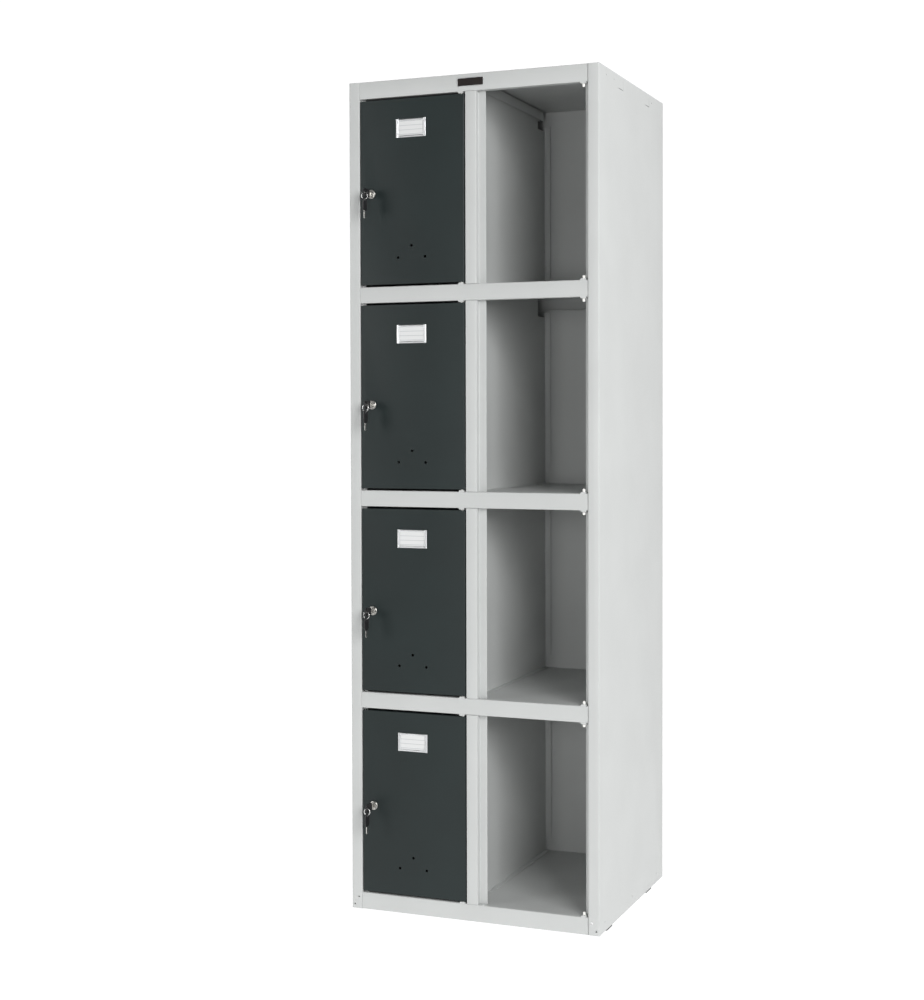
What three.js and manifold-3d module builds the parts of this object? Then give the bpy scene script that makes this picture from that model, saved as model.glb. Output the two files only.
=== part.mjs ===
// Steel locker cabinet: two columns of four tiers, doors on the left column, open niches on the right.
// Millimetres, +Z up, the front faces -Y. The origin is on the floor, under the middle of the outer box.

import * as THREE from 'three';
import { mergeVertices } from 'three/addons/utils/BufferGeometryUtils.js';
import Module from 'manifold-3d';

const wasm = await Module();
wasm.setup();

// ---------------------------------------------------------------- driving dimensions

const WIDTH = 575;
const DEPTH = 500;
const HEIGHT = 1830;
const TIERS = 4;

const SHEET = 1;                   // steel sheet thickness
const BEND_RADIUS = 1;             // inside radius of a fold
const BEND_STEPS = 3;
const GAP = 0.3;                   // between two pieces that touch
const FOLD_GAP = 0.8;              // from a wall, where a piece ends inside its fold

const FOOT_HEIGHT = 4;
const HEAD_HEIGHT = 37.4;          // front band of the roof
const BAND_HEIGHT = 35.3;          // front band of a shelf
const BASE_HEIGHT = 36.8;          // front band of the base
const BAND_LIP = 18;               // fold under a front band
const RAIL_HEIGHT = 30;            // rear rail of a shelf and of the base
const RAIL_LIP = 12;               // fold under a rear rail
const SKIRT_HEIGHT = 22;           // side skirts of roof, shelves and base

const STILE_WIDTH = 25;
const STILE_DEPTH = 14;            // from the front face to the door stop
const STOP_WIDTH = 8.5;            // door stop beside a stile
const REAR_FLANGE = 15;

const DIVIDER_FACE = 26;
const DIVIDER_STOP = 17;           // door stop beside the divider
const DIVIDER_WALL_X = -4.4;       // middle plane of the wall between the columns
const DIVIDER_BOX_DEPTH = 32;
const DIVIDER_FLANGE = 14;
const NOTCH_START = 442;           // notch in the upper rear corner of the wall, from the front
const NOTCH_END = 487;
const NOTCH_DROP = 10;
const FLANGE_LIFT = 30;            // rear flange of the wall starts this far above the floor
const CHANNEL_WIDTH = 10;
const CHANNEL_DEPTH = 23;
const CHANNEL_START = 22;
const CHANNEL_END = 470;
const CHANNEL_DROP = 2.5;          // from the roof sheet down to the channel
const WALL_FOOT = { width: 12, start: 127 };   // fold at the foot of a wall, towards the niches
const WALL_SCREW = { radius: 2, x: 2, y: 108 };   // screw hole in a deck, in front of that fold
const FLANGE_SETBACK = 4;          // rear flange of the wall, from the back edge of the shelves

const DOOR_THICKNESS = 13;
const DOOR_SIDE_GAP = 2;
const DOOR_TOP_GAP = 5;
const DOOR_BOTTOM_GAP = 4.8;
const DOOR_LIP = 12;

const PIN_RADIUS = 3;
const PIN_INSET = 10.5;            // pin axis from the edge of the door opening
const PIN_SETBACK = 6.5;           // pin axis behind the front face
const PIN_REACH = 10;              // how far a pin stands out of its band
const PIN_HOLE_RADIUS = 3.4;
const LUG_HEIGHT = 3.2;
const LUG_LEFT = 7;                // lug from the pin axis, away from the stile
const LUG_RIGHT = 6;
const LUG_SLOPE = 2.5;
const LUG_DEPTH = 12.5;

const VENT_RADIUS = 3;
const VENT_SPREAD = 32;            // half the base of the triangle of vent holes
const VENT_RISE = 25;
const VENT_BELOW_TOP = 319;        // upper vent hole, from the top of the door
const LABEL_BELOW_TOP = 64.4;      // middle of the label holder, from the top of the door
const LABEL_SIZE = { width: 70, height: 40, depth: 2.4, rim: 5 };
const PUNCH_SHIFT = -1;            // label and vent holes, from the middle of the door

const LOCK_FROM_EDGE = 26.5;       // lock axis from the free edge of the door
const LOCK_BELOW_TIER_TOP = [208.6, 223.3, 230.1, 215.2];   // tiers from the top down
const BARREL = { rimRadius: 10.2, rimDepth: 3.2, radius: 9.2, bore: 6.9, rear: 14.4 };
const PLUG_RADIUS = 6.5;
const CAM = { front: 15.2, thickness: 2, width: 15, reach: 28 };
const BLADE = { thickness: 2, width: 7.4, gap: 0.3 };
const BOW = { start: -11, end: -42, width: 18, thickness: 2.6 };
const BOW_HOLE = { radius: 3.5, y: -35.2 };
const RING = { radius: 7, wire: 0.75, below: 1 };   // hangs this far below the rim it goes round
const SPARE = { width: 20.4, eye: 3.2, rim: 1.5, bowLength: 28.5, bladeLength: 16 };

const PLATE = { width: 60, height: 18, depth: 0.9, below: 18 };
const FOOT = { length: 46, width: 22, corner: 5, fronts: [76, 384], flange: 25 };

const KEY_REACH = SPARE.width / 2 - BOW_HOLE.y;   // how far the keys stand out of the front
const FRONT = KEY_REACH / 2 - DEPTH / 2;
const BACK = FRONT + DEPTH;
const SIDE = WIDTH / 2;
const CARCASS_BOTTOM = FOOT_HEIGHT;
const BANDS = HEAD_HEIGHT + BAND_HEIGHT * (TIERS - 1) + BASE_HEIGHT;
const OPENING = (HEIGHT - CARCASS_BOTTOM - BANDS) / TIERS;
const OPENING_EDGE = SIDE - STILE_WIDTH;          // edge of the door openings at the stiles
const FACE_EDGE = DIVIDER_FACE / 2;               // edge of the door openings at the divider
const DECK_BACK = BACK - 2 * SHEET - 2 * GAP;     // shelves stop in front of the back panel

// Tiers are counted from the top. tierTop and tierBottom are the limits of the opening.
const tierTop = (tier) => HEIGHT - HEAD_HEIGHT - tier * (OPENING + BAND_HEIGHT);
const tierBottom = (tier) => tierTop(tier) - OPENING;

// ---------------------------------------------------------------- materials

const paint = (color, roughness, metalness = 0) =>
  new THREE.MeshStandardMaterial({ color, roughness, metalness });

const LIGHT_PAINT = paint('#cfd1cf', 0.45);
const DARK_PAINT = paint('#373c3c', 0.5);
const NICKEL = paint('#c2c4c4', 0.25, 1);
const ALUMINIUM = paint('#c9cbcc', 0.35, 1);
const NYLON = paint('#f2f2ee', 0.5);
const BLACK_PLASTIC = paint('#1c1c1e', 0.45);
const PLATE_FINISH = paint('#2b2423', 0.4);

// ---------------------------------------------------------------- solids

function toSolid(geometry) {
  const bare = geometry.clone();
  bare.deleteAttribute('normal');
  bare.deleteAttribute('uv');
  const merged = mergeVertices(bare, 1e-4);
  return new wasm.Manifold(new wasm.Mesh({
    numProp: 3,
    vertProperties: new Float32Array(merged.attributes.position.array),
    triVerts: new Uint32Array(merged.index.array),
  }));
}

function toGeometry(solid) {
  const mesh = solid.getMesh();
  const geometry = new THREE.BufferGeometry();
  geometry.setAttribute('position', new THREE.BufferAttribute(mesh.vertProperties, 3));
  geometry.setIndex(new THREE.BufferAttribute(mesh.triVerts, 1));
  geometry.computeVertexNormals();
  return geometry;
}

const join = (...pieces) => pieces.reduce((whole, piece) => whole.add(piece));
const cut = (body, ...tools) => tools.reduce((left, tool) => left.subtract(tool), body);

// A box given by its low and high corner.
function box([x0, y0, z0], [x1, y1, z1]) {
  const geometry = new THREE.BoxGeometry(x1 - x0, y1 - y0, z1 - z0);
  geometry.translate((x0 + x1) / 2, (y0 + y1) / 2, (z0 + z1) / 2);
  return toSolid(geometry);
}

// A round bar along X, Y or Z, centred on a point.
function bar(axis, radius, length, [x, y, z], sides = 12) {
  const geometry = new THREE.CylinderGeometry(radius, radius, length, sides);
  if (axis === 'x') geometry.rotateZ(Math.PI / 2);
  if (axis === 'z') geometry.rotateX(Math.PI / 2);
  geometry.translate(x, y, z);
  return toSolid(geometry);
}

// An outline pushed straight up Z, or along X or Y with the outline in the other two axes.
function prism(shape, length, { along = 'z', from = 0, curveSegments = 6 } = {}) {
  const geometry = new THREE.ExtrudeGeometry(shape, { depth: length, bevelEnabled: false, curveSegments });
  const [ex, ey, ez] = [
    new THREE.Vector3(1, 0, 0),
    new THREE.Vector3(0, 1, 0),
    new THREE.Vector3(0, 0, 1),
  ];
  const turn = new THREE.Matrix4();
  if (along === 'x') turn.makeBasis(ey, ez, ex);
  if (along === 'y') turn.makeBasis(ex, ez.clone(), ey.clone().negate());
  geometry.applyMatrix4(turn);
  const move = { x: [from, 0, 0], y: [0, from + length, 0], z: [0, 0, from] }[along];
  geometry.translate(...move);
  return toSolid(geometry);
}

// The section of a folded sheet, from the corner points of its middle plane.
function foldedSection(corners) {
  const points = corners.map(([a, b]) => new THREE.Vector2(a, b));
  const radius = BEND_RADIUS + SHEET / 2;
  const samples = [];
  points.forEach((corner, i) => {
    if (i === 0 || i === points.length - 1) {
      const other = i === 0 ? points[1] : points[i - 1];
      const along = i === 0 ? other.clone().sub(corner) : corner.clone().sub(other);
      samples.push({ at: corner, along: along.normalize() });
      return;
    }
    const before = corner.clone().sub(points[i - 1]).normalize();
    const after = points[i + 1].clone().sub(corner).normalize();
    const turn = Math.atan2(before.cross(after), before.dot(after));
    const reach = radius * Math.tan(Math.abs(turn) / 2);
    const start = corner.clone().addScaledVector(before, -reach);
    const side = new THREE.Vector2(-before.y, before.x).multiplyScalar(Math.sign(turn));
    const centre = start.clone().addScaledVector(side, radius);
    for (let step = 0; step <= BEND_STEPS; step += 1) {
      const angle = (turn * step) / BEND_STEPS;
      samples.push({
        at: start.clone().rotateAround(centre, angle),
        along: before.clone().rotateAround(new THREE.Vector2(), angle),
      });
    }
  });
  const offset = (sign) => samples.map(({ at, along }) =>
    new THREE.Vector2(at.x - along.y * sign * SHEET / 2, at.y + along.x * sign * SHEET / 2));
  return new THREE.Shape([...offset(1), ...offset(-1).reverse()]);
}

// A rectangle with round corners, centred on a point.
function roundedRectangle(width, height, radius, cx = 0, cy = 0) {
  const [a, b] = [width / 2, height / 2];
  const shape = new THREE.Shape();
  shape.absarc(cx + a - radius, cy + b - radius, radius, 0, Math.PI / 2);
  shape.absarc(cx - a + radius, cy + b - radius, radius, Math.PI / 2, Math.PI);
  shape.absarc(cx - a + radius, cy - b + radius, radius, Math.PI, Math.PI * 1.5);
  shape.absarc(cx + a - radius, cy - b + radius, radius, Math.PI * 1.5, Math.PI * 2);
  shape.closePath();
  return shape;
}

// A turned solid about an axis along Y, from [radius, y] points that start and end on the axis
// or close on themselves.
function turnedAlongY(profile, sides, x, z) {
  const geometry = new THREE.LatheGeometry(profile.map(([r, y]) => new THREE.Vector2(r, y)), sides);
  geometry.translate(x, 0, z);
  return toSolid(geometry);
}

const cabinet = new THREE.Group();

function add(name, solid, material) {
  const mesh = new THREE.Mesh(toGeometry(solid), material);
  mesh.name = name;
  cabinet.add(mesh);
}

// ---------------------------------------------------------------- side panels and back

function sidePanel(side) {
  const half = SHEET / 2;
  const inner = SIDE - STILE_WIDTH;
  const section = foldedSection([
    [side * (SIDE - REAR_FLANGE), BACK - half],
    [side * (SIDE - half), BACK - half],
    [side * (SIDE - half), FRONT + half],
    [side * (inner + half), FRONT + half],
    [side * (inner + half), FRONT + STILE_DEPTH + half],
    [side * (inner - STOP_WIDTH), FRONT + STILE_DEPTH + half],
  ]);
  const shell = prism(section, HEIGHT - CARCASS_BOTTOM, { from: CARCASS_BOTTOM });
  const outer = side * (SIDE - half);
  const footFlange = box(
    [Math.min(outer, side * (SIDE - FOOT.flange)), FRONT + STILE_DEPTH + 3, CARCASS_BOTTOM],
    [Math.max(outer, side * (SIDE - FOOT.flange)), BACK - 20, CARCASS_BOTTOM + SHEET],
  );
  const stileEdge = side * inner;
  const stileCap = box(
    [Math.min(outer, stileEdge), FRONT + half, HEIGHT - SHEET],
    [Math.max(outer, stileEdge), FRONT + STILE_DEPTH + half, HEIGHT],
  );
  const tools = [];
  for (const [inset, height] of [[16.5, 30], [6.8, 13]]) {
    tools.push(bar('y', 2.1, 6, [side * (SIDE - inset), FRONT, height], 10));
  }
  for (const [y, height] of [[51, 1814], [106, 1814], [402, 1814], [38.6, 24], [243.6, 24], [448, 24]]) {
    tools.push(bar('x', 1.9, 6, [outer, FRONT + y, height], 10));
  }
  // Each lanced tab hooks the skirt of the roof: a slit below it and one behind it.
  for (const y of [140, 346]) {
    const rear = FRONT + y + 34;
    tools.push(box([outer - 3, FRONT + y, 1801], [outer + 3, rear, 1802.2]));
    tools.push(box([outer - 3, rear - 1.2, 1801], [outer + 3, rear, 1821]));
  }
  return cut(join(shell, footFlange, stileCap), ...tools);
}

function backPanel() {
  const rear = BACK - SHEET - GAP;
  const half = SIDE - SHEET - FOLD_GAP;
  const sheet = box([-half, rear - SHEET, CARCASS_BOTTOM + 1], [half, rear, HEIGHT - SHEET - FOLD_GAP]);
  const rivets = [];
  for (let tier = 0; tier < TIERS - 1; tier += 1) {
    for (const x of [-half * 0.5, half * 0.5]) {
      rivets.push(bar('y', 1.6, 6, [x, rear, tierBottom(tier) - BAND_HEIGHT / 2], 8));
    }
  }
  return cut(sheet, ...rivets);
}

// ---------------------------------------------------------------- roof, shelves and base

// Axes of the hinge pins: one at the right edge of each column.
const PIN_X = [-FACE_EDGE - PIN_INSET, OPENING_EDGE - PIN_INSET];
const SPARE_PIN_X = [-OPENING_EDGE + PIN_INSET, FACE_EDGE + PIN_INSET];
const PIN_Y = FRONT + PIN_SETBACK;

// The raised end of a band that carries a hinge pin.
function lug(x, base, direction) {
  const right = Math.min(x + LUG_RIGHT, OPENING_EDGE - GAP);
  const top = base + direction * LUG_HEIGHT;
  const root = base - direction * SHEET;
  const shape = new THREE.Shape([
    new THREE.Vector2(x - LUG_LEFT, root),
    new THREE.Vector2(right, root),
    new THREE.Vector2(right, top),
    new THREE.Vector2(x - LUG_LEFT + LUG_SLOPE, top),
  ]);
  return prism(shape, LUG_DEPTH, { along: 'y', from: FRONT });
}

// Holes for the pins, and for the pins of a cabinet that is hinged the other way. The lip of the base
// is drilled only where a pin stands.
function pinHoles(low, high, lipDrilled) {
  const through = (x) => bar('z', PIN_HOLE_RADIUS, high - low + 40, [x, PIN_Y, (low + high) / 2]);
  const sheetOnly = (x) => bar('z', PIN_HOLE_RADIUS, 20, [x, PIN_Y, high]);
  return [...PIN_X.map(through), ...SPARE_PIN_X.map(lipDrilled ? through : sheetOnly)];
}

// A deck with a folded front band and rear rail: shelf or base.
function deck(top, height, isShelf) {
  const half = SHEET / 2;
  const low = top - height;
  const railLow = top - RAIL_HEIGHT;
  const section = foldedSection([
    [FRONT + BAND_LIP, low + half],
    [FRONT + half, low + half],
    [FRONT + half, top - half],
    [DECK_BACK - half, top - half],
    [DECK_BACK - half, railLow + half],
    [DECK_BACK - RAIL_LIP, railLow + half],
  ]);
  const reach = OPENING_EDGE - GAP;
  const wing = SIDE - SHEET - GAP;
  const behindStop = FRONT + STILE_DEPTH + SHEET + GAP;
  const pieces = [
    prism(section, 2 * reach, { along: 'x', from: -reach }),
    box([-wing, behindStop, top - SHEET], [wing, DECK_BACK - 3, top]),
  ];
  for (const side of [-1, 1]) {
    const edge = side * wing;
    const inner = side * (wing - SHEET);
    pieces.push(box(
      [Math.min(edge, inner), behindStop + 10, top - SKIRT_HEIGHT],
      [Math.max(edge, inner), DECK_BACK - 20, top - SHEET / 2],
    ));
  }
  for (const x of PIN_X) {
    pieces.push(lug(x, top, 1));
    if (isShelf) pieces.push(lug(x, low, -1));
  }
  const screwHole = bar('z', WALL_SCREW.radius, 6, [WALL_SCREW.x, FRONT + WALL_SCREW.y, top], 10);
  return cut(join(...pieces), ...pinHoles(low, top, isShelf), ...stopSlots(low - 10, top + 10), screwHole);
}

// Slots that let the door stops of the side panels pass a deck.
function stopSlots(low, high) {
  const back = FRONT + STILE_DEPTH + SHEET + GAP;
  return [-1, 1].map((side) => {
    const a = side * (OPENING_EDGE - STOP_WIDTH - GAP);
    const b = side * (OPENING_EDGE + 1);
    return box([Math.min(a, b), FRONT + STILE_DEPTH - GAP, low], [Math.max(a, b), back, high]);
  });
}

function roofPanel() {
  const half = SHEET / 2;
  const low = HEIGHT - HEAD_HEIGHT;
  const section = foldedSection([
    [FRONT + BAND_LIP, low + half],
    [FRONT + half, low + half],
    [FRONT + half, HEIGHT - half],
    [BACK - half, HEIGHT - half],
    [BACK - half, HEIGHT - SKIRT_HEIGHT],
  ]);
  const reach = OPENING_EDGE - GAP;
  const wing = SIDE - SHEET - GAP;
  const behindStop = FRONT + STILE_DEPTH + SHEET + GAP;
  const pieces = [
    prism(section, 2 * reach, { along: 'x', from: -reach }),
    box([-wing, behindStop, HEIGHT - SHEET], [wing, BACK - SHEET - GAP, HEIGHT]),
    ...PIN_X.map((x) => lug(x, low, -1)),
  ];
  for (const side of [-1, 1]) {
    const edge = side * wing;
    const inner = side * (wing - SHEET);
    pieces.push(box(
      [Math.min(edge, inner), behindStop + 10, HEIGHT - SKIRT_HEIGHT - 6],
      [Math.max(edge, inner), DECK_BACK - 3, HEIGHT - SHEET / 2],
    ));
  }
  // The pins stop below the roof sheet, so only the folded lip is drilled.
  const drills = [...PIN_X, ...SPARE_PIN_X].map((x) => bar('z', PIN_HOLE_RADIUS, 20, [x, PIN_Y, low]));
  return cut(join(...pieces), ...drills, ...stopSlots(low - 10, HEIGHT + 10));
}

// The inverted channel under the roof that holds the top edge of the upper divider.
function roofChannel() {
  const half = SHEET / 2;
  const top = HEIGHT - SHEET - CHANNEL_DROP;
  const [a, b] = [DIVIDER_WALL_X - CHANNEL_WIDTH / 2 + half, DIVIDER_WALL_X + CHANNEL_WIDTH / 2 - half];
  const section = foldedSection([
    [a, top - CHANNEL_DEPTH],
    [a, top - half],
    [b, top - half],
    [b, top - CHANNEL_DEPTH],
  ]);
  return prism(section, CHANNEL_END - CHANNEL_START, { along: 'y', from: FRONT + CHANNEL_START });
}

// ---------------------------------------------------------------- divider

function dividerPanel(tier) {
  const half = SHEET / 2;
  const low = tierBottom(tier) + GAP;
  const rear = DECK_BACK - FLANGE_SETBACK;
  const openingTop = tierTop(tier) - GAP;
  const headRoom = HEAD_HEIGHT - 2 * SHEET - CHANNEL_DROP - 2 * GAP;
  const channelRoom = tier === 0 ? headRoom : BAND_HEIGHT - SHEET - GAP;
  const top = tierTop(tier) + channelRoom;
  const section = foldedSection([
    [FACE_EDGE + DIVIDER_STOP, FRONT + STILE_DEPTH + half],
    [FACE_EDGE - half, FRONT + STILE_DEPTH + half],
    [FACE_EDGE - half, FRONT + half],
    [-FACE_EDGE + half, FRONT + half],
    [-FACE_EDGE + half, FRONT + DIVIDER_BOX_DEPTH],
    [DIVIDER_WALL_X, FRONT + DIVIDER_BOX_DEPTH],
    [DIVIDER_WALL_X, rear - half],
    [DIVIDER_WALL_X + DIVIDER_FLANGE + half, rear - half],
  ]);
  const far = 40;
  const wallFoot = box(
    [DIVIDER_WALL_X, FRONT + WALL_FOOT.start, low],
    [DIVIDER_WALL_X + WALL_FOOT.width, rear - half, low + SHEET],
  );
  return cut(
    join(prism(section, top - low, { from: low }), wallFoot),
    box([-far, FRONT - 1, openingTop], [far, FRONT + DIVIDER_BOX_DEPTH + 3, top + 1]),
    box([-far, FRONT + NOTCH_START, openingTop], [far, BACK, top + 1]),
    box([-far, FRONT + NOTCH_START, openingTop - NOTCH_DROP], [far, FRONT + NOTCH_END, top + 1]),
    box([DIVIDER_WALL_X + 2, rear - 4, low - 1], [far, BACK, low + FLANGE_LIFT]),
  );
}

// ---------------------------------------------------------------- hinge pins and feet

function hingePin(x, low, high) {
  const chamfer = 1;
  const geometry = new THREE.LatheGeometry([
    [0, low],
    [PIN_RADIUS - chamfer, low],
    [PIN_RADIUS, low + chamfer],
    [PIN_RADIUS, high - chamfer],
    [PIN_RADIUS - chamfer, high],
    [0, high],
  ].map(([r, y]) => new THREE.Vector2(r, y)), 10);
  geometry.rotateX(Math.PI / 2);
  geometry.translate(x, PIN_Y, 0);
  return toSolid(geometry);
}

function foot(side, y) {
  const x = side * (SIDE - SHEET - FOOT.width / 2);
  const shape = roundedRectangle(FOOT.width, FOOT.length, FOOT.corner, x, FRONT + y);
  return prism(shape, FOOT_HEIGHT - GAP, { from: 0, curveSegments: 3 });
}

// ---------------------------------------------------------------- door and lock

const DOOR_LEFT = -OPENING_EDGE + DOOR_SIDE_GAP;
const DOOR_RIGHT = -FACE_EDGE - DOOR_SIDE_GAP;
const LOCK_X = DOOR_LEFT + LOCK_FROM_EDGE;
const DOOR_MIDDLE = (DOOR_LEFT + DOOR_RIGHT) / 2;
const PUNCH_X = DOOR_MIDDLE + PUNCH_SHIFT;
const lockHeight = (tier) => tierTop(tier) - LOCK_BELOW_TIER_TOP[tier];

function doorPanel(tier) {
  const half = SHEET / 2;
  const low = tierBottom(tier) + DOOR_BOTTOM_GAP;
  const high = tierTop(tier) - DOOR_TOP_GAP;
  const rear = FRONT + DOOR_THICKNESS - half;
  const section = foldedSection([
    [DOOR_LEFT + DOOR_LIP, rear],
    [DOOR_LEFT + half, rear],
    [DOOR_LEFT + half, FRONT + half],
    [DOOR_RIGHT - half, FRONT + half],
    [DOOR_RIGHT - half, rear],
    [DOOR_RIGHT - DOOR_LIP, rear],
  ]);
  const inset = SHEET * 0.6;
  const capLow = [DOOR_LEFT + inset, FRONT + inset];
  const capHigh = [DOOR_RIGHT - inset, FRONT + DOOR_THICKNESS - inset];
  const vents = [[0, 0], [-VENT_SPREAD, -VENT_RISE], [VENT_SPREAD, -VENT_RISE]].map(([x, z]) =>
    bar('y', VENT_RADIUS, 6, [PUNCH_X + x, FRONT, high - VENT_BELOW_TOP + z], 12));
  const lockHole = bar('y', BARREL.radius + GAP, 8, [LOCK_X, FRONT, lockHeight(tier)], 20);
  const pinned = [PIN_X[0], SPARE_PIN_X[0]].map((x) =>
    bar('z', PIN_HOLE_RADIUS, high - low + 20, [x, PIN_Y, (low + high) / 2]));
  const caps = [low, high - SHEET].map((z) =>
    cut(box([...capLow, z], [...capHigh, z + SHEET]), ...pinned));
  return cut(join(prism(section, high - low, { from: low }), ...caps), ...vents, lockHole);
}

function labelHolder(tier) {
  const z = tierTop(tier) - DOOR_TOP_GAP - LABEL_BELOW_TOP;
  const outline = roundedRectangle(LABEL_SIZE.width, LABEL_SIZE.height, 1.5, PUNCH_X, z);
  const frame = prism(outline, LABEL_SIZE.depth, {
    along: 'y',
    from: FRONT - GAP - LABEL_SIZE.depth,
    curveSegments: 3,
  });
  const [w, h] = [LABEL_SIZE.width / 2 - LABEL_SIZE.rim, LABEL_SIZE.height / 2 - LABEL_SIZE.rim];
  const y0 = FRONT - GAP - LABEL_SIZE.depth;
  const window = box([PUNCH_X - w, y0 - 1, z - h], [PUNCH_X + w, FRONT + 1, z + h]);
  const groove = 1.2;
  const slot = box(
    [PUNCH_X - w - 2.5, FRONT - GAP - 1 - groove / 2, z - h - 2.5],
    [PUNCH_X + w + 2.5, FRONT + 1, z + h + LABEL_SIZE.rim + 1],
  );
  return cut(frame, window, slot);
}

function lockBarrel(tier) {
  const front = FRONT - GAP - BARREL.rimDepth;
  return turnedAlongY([
    [BARREL.bore, front],
    [BARREL.rimRadius - 1, front],
    [BARREL.rimRadius, front + 1],
    [BARREL.rimRadius, FRONT - GAP],
    [BARREL.radius, FRONT - GAP],
    [BARREL.radius, FRONT + BARREL.rear],
    [BARREL.bore, FRONT + BARREL.rear],
    [BARREL.bore, front],
  ], 20, LOCK_X, lockHeight(tier));
}

function lockPlug(tier) {
  const z = lockHeight(tier);
  const front = FRONT - GAP - BARREL.rimDepth - 0.4;
  const rear = FRONT + BARREL.rear + 0.5;
  const profile = [[0, front], [PLUG_RADIUS, front], [PLUG_RADIUS, rear], [0, rear]];
  const body = turnedAlongY(profile, 16, LOCK_X, z);
  const [t, w] = [BLADE.thickness / 2 + BLADE.gap, BLADE.width / 2 + BLADE.gap];
  return cut(body, box([LOCK_X - t, front - 1, z - w], [LOCK_X + t, rear - 3, z + w]));
}

function lockCam(tier) {
  const z = lockHeight(tier);
  const half = CAM.width / 2;
  const shape = new THREE.Shape();
  shape.absarc(LOCK_X, z, half, Math.PI, Math.PI * 2);
  shape.lineTo(LOCK_X + half, z + CAM.reach - 4);
  shape.lineTo(LOCK_X + half - 4, z + CAM.reach);
  shape.lineTo(LOCK_X - half + 4, z + CAM.reach);
  shape.lineTo(LOCK_X - half, z + CAM.reach - 4);
  shape.closePath();
  return prism(shape, CAM.thickness, { along: 'y', from: FRONT + CAM.front });
}

// A key: a plastic head in the Y-Z plane with a round hole, and a blade.
function keySolid(head, hole, blade) {
  const eye = new THREE.Path();
  eye.absarc(hole.y, hole.z, hole.radius, 0, Math.PI * 2);
  head.holes.push(eye);
  const bow = prism(head, BOW.thickness, { along: 'x', from: LOCK_X - BOW.thickness / 2, curveSegments: 5 });
  const half = BLADE.thickness / 2;
  return join(bow, box([LOCK_X - half, ...blade.low], [LOCK_X + half, ...blade.high]));
}

const HOLE_Y = FRONT + BOW_HOLE.y;
const RIM_DROP = (BOW_HOLE.radius + BOW.width / 2) / 2;   // middle of the rim below the lock axis
const ringHeight = (tier) => lockHeight(tier) - RIM_DROP - RING.below;

function key(tier) {
  const z = lockHeight(tier);
  const half = BLADE.width / 2;
  const head = roundedRectangle(BOW.start - BOW.end, BOW.width, 5, FRONT + (BOW.start + BOW.end) / 2, z);
  return keySolid(head, { y: HOLE_Y, z, radius: BOW_HOLE.radius }, {
    low: [FRONT + BOW.start - 2, z - half],
    high: [FRONT + BARREL.rear - 4, z + half],
  });
}

function keyRing(tier) {
  const geometry = new THREE.TorusGeometry(RING.radius, RING.wire, 6, 20);
  geometry.rotateX(Math.PI / 2);
  geometry.translate(LOCK_X, HOLE_Y, ringHeight(tier));
  return toSolid(geometry);
}

// The spare key hangs with the upper edge of its eye on the bottom of the ring.
function spareKey(tier) {
  const eyeHeight = ringHeight(tier) - RING.radius - (SPARE.eye - RING.wire - 2 * GAP);
  const top = eyeHeight + SPARE.eye + SPARE.rim;
  const bowBottom = top - SPARE.bowLength;
  const half = BLADE.width / 2;
  const head = roundedRectangle(SPARE.width, SPARE.bowLength, 5, HOLE_Y, top - SPARE.bowLength / 2);
  return keySolid(head, { y: HOLE_Y, z: eyeHeight, radius: SPARE.eye }, {
    low: [HOLE_Y - half, bowBottom - SPARE.bladeLength],
    high: [HOLE_Y + half, bowBottom + 2],
  });
}

// ---------------------------------------------------------------- assembly

add('side_panel_left', sidePanel(-1), LIGHT_PAINT);
add('side_panel_right', sidePanel(1), LIGHT_PAINT);
add('back_panel', backPanel(), LIGHT_PAINT);
add('roof_panel', roofPanel(), LIGHT_PAINT);
add('roof_channel', roofChannel(), LIGHT_PAINT);
add('base_panel', deck(CARCASS_BOTTOM + BASE_HEIGHT, BASE_HEIGHT, false), LIGHT_PAINT);

for (let tier = 0; tier < TIERS; tier += 1) {
  const number = tier + 1;
  add(`divider_${number}`, dividerPanel(tier), LIGHT_PAINT);
  if (tier < TIERS - 1) {
    add(`shelf_${number}`, deck(tierBottom(tier), BAND_HEIGHT, true), LIGHT_PAINT);
  }
  add(`door_${number}`, doorPanel(tier), DARK_PAINT);
  add(`label_holder_${number}`, labelHolder(tier), ALUMINIUM);
  add(`lock_barrel_${number}`, lockBarrel(tier), NICKEL);
  add(`lock_plug_${number}`, lockPlug(tier), NICKEL);
  add(`lock_cam_${number}`, lockCam(tier), NICKEL);
  add(`key_${number}`, key(tier), BLACK_PLASTIC);
  add(`key_ring_${number}`, keyRing(tier), NICKEL);
  add(`spare_key_${number}`, spareKey(tier), BLACK_PLASTIC);
}

// Pins from the head band, through each shelf band, and from the base.
PIN_X.forEach((x, column) => {
  const name = ['left', 'right'][column];
  const head = HEIGHT - HEAD_HEIGHT;
  add(`hinge_pin_${name}_top`, hingePin(x, head - PIN_REACH, head + PIN_REACH), NYLON);
  for (let tier = 0; tier < TIERS - 1; tier += 1) {
    const floor = tierBottom(tier);
    const pin = hingePin(x, floor - BAND_HEIGHT - PIN_REACH, floor + PIN_REACH);
    add(`hinge_pin_${name}_${tier + 1}`, pin, NYLON);
  }
  const sill = CARCASS_BOTTOM + BASE_HEIGHT;
  add(`hinge_pin_${name}_base`, hingePin(x, sill - BASE_HEIGHT + 2, sill + PIN_REACH), NYLON);
});

for (const [name, side] of [['left', -1], ['right', 1]]) {
  FOOT.fronts.forEach((y, i) => add(`foot_${name}_${['front', 'rear'][i]}`, foot(side, y), BLACK_PLASTIC));
}

const plateMiddle = HEIGHT - PLATE.below;
add('name_plate', prism(roundedRectangle(PLATE.width, PLATE.height, 1.5, 0, plateMiddle), PLATE.depth, {
  along: 'y',
  from: FRONT - GAP - PLATE.depth,
  curveSegments: 3,
}), PLATE_FINISH);

export default cabinet;
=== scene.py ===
"""Folded-steel locker cabinet: finishes, fittings and studio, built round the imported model."""

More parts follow.
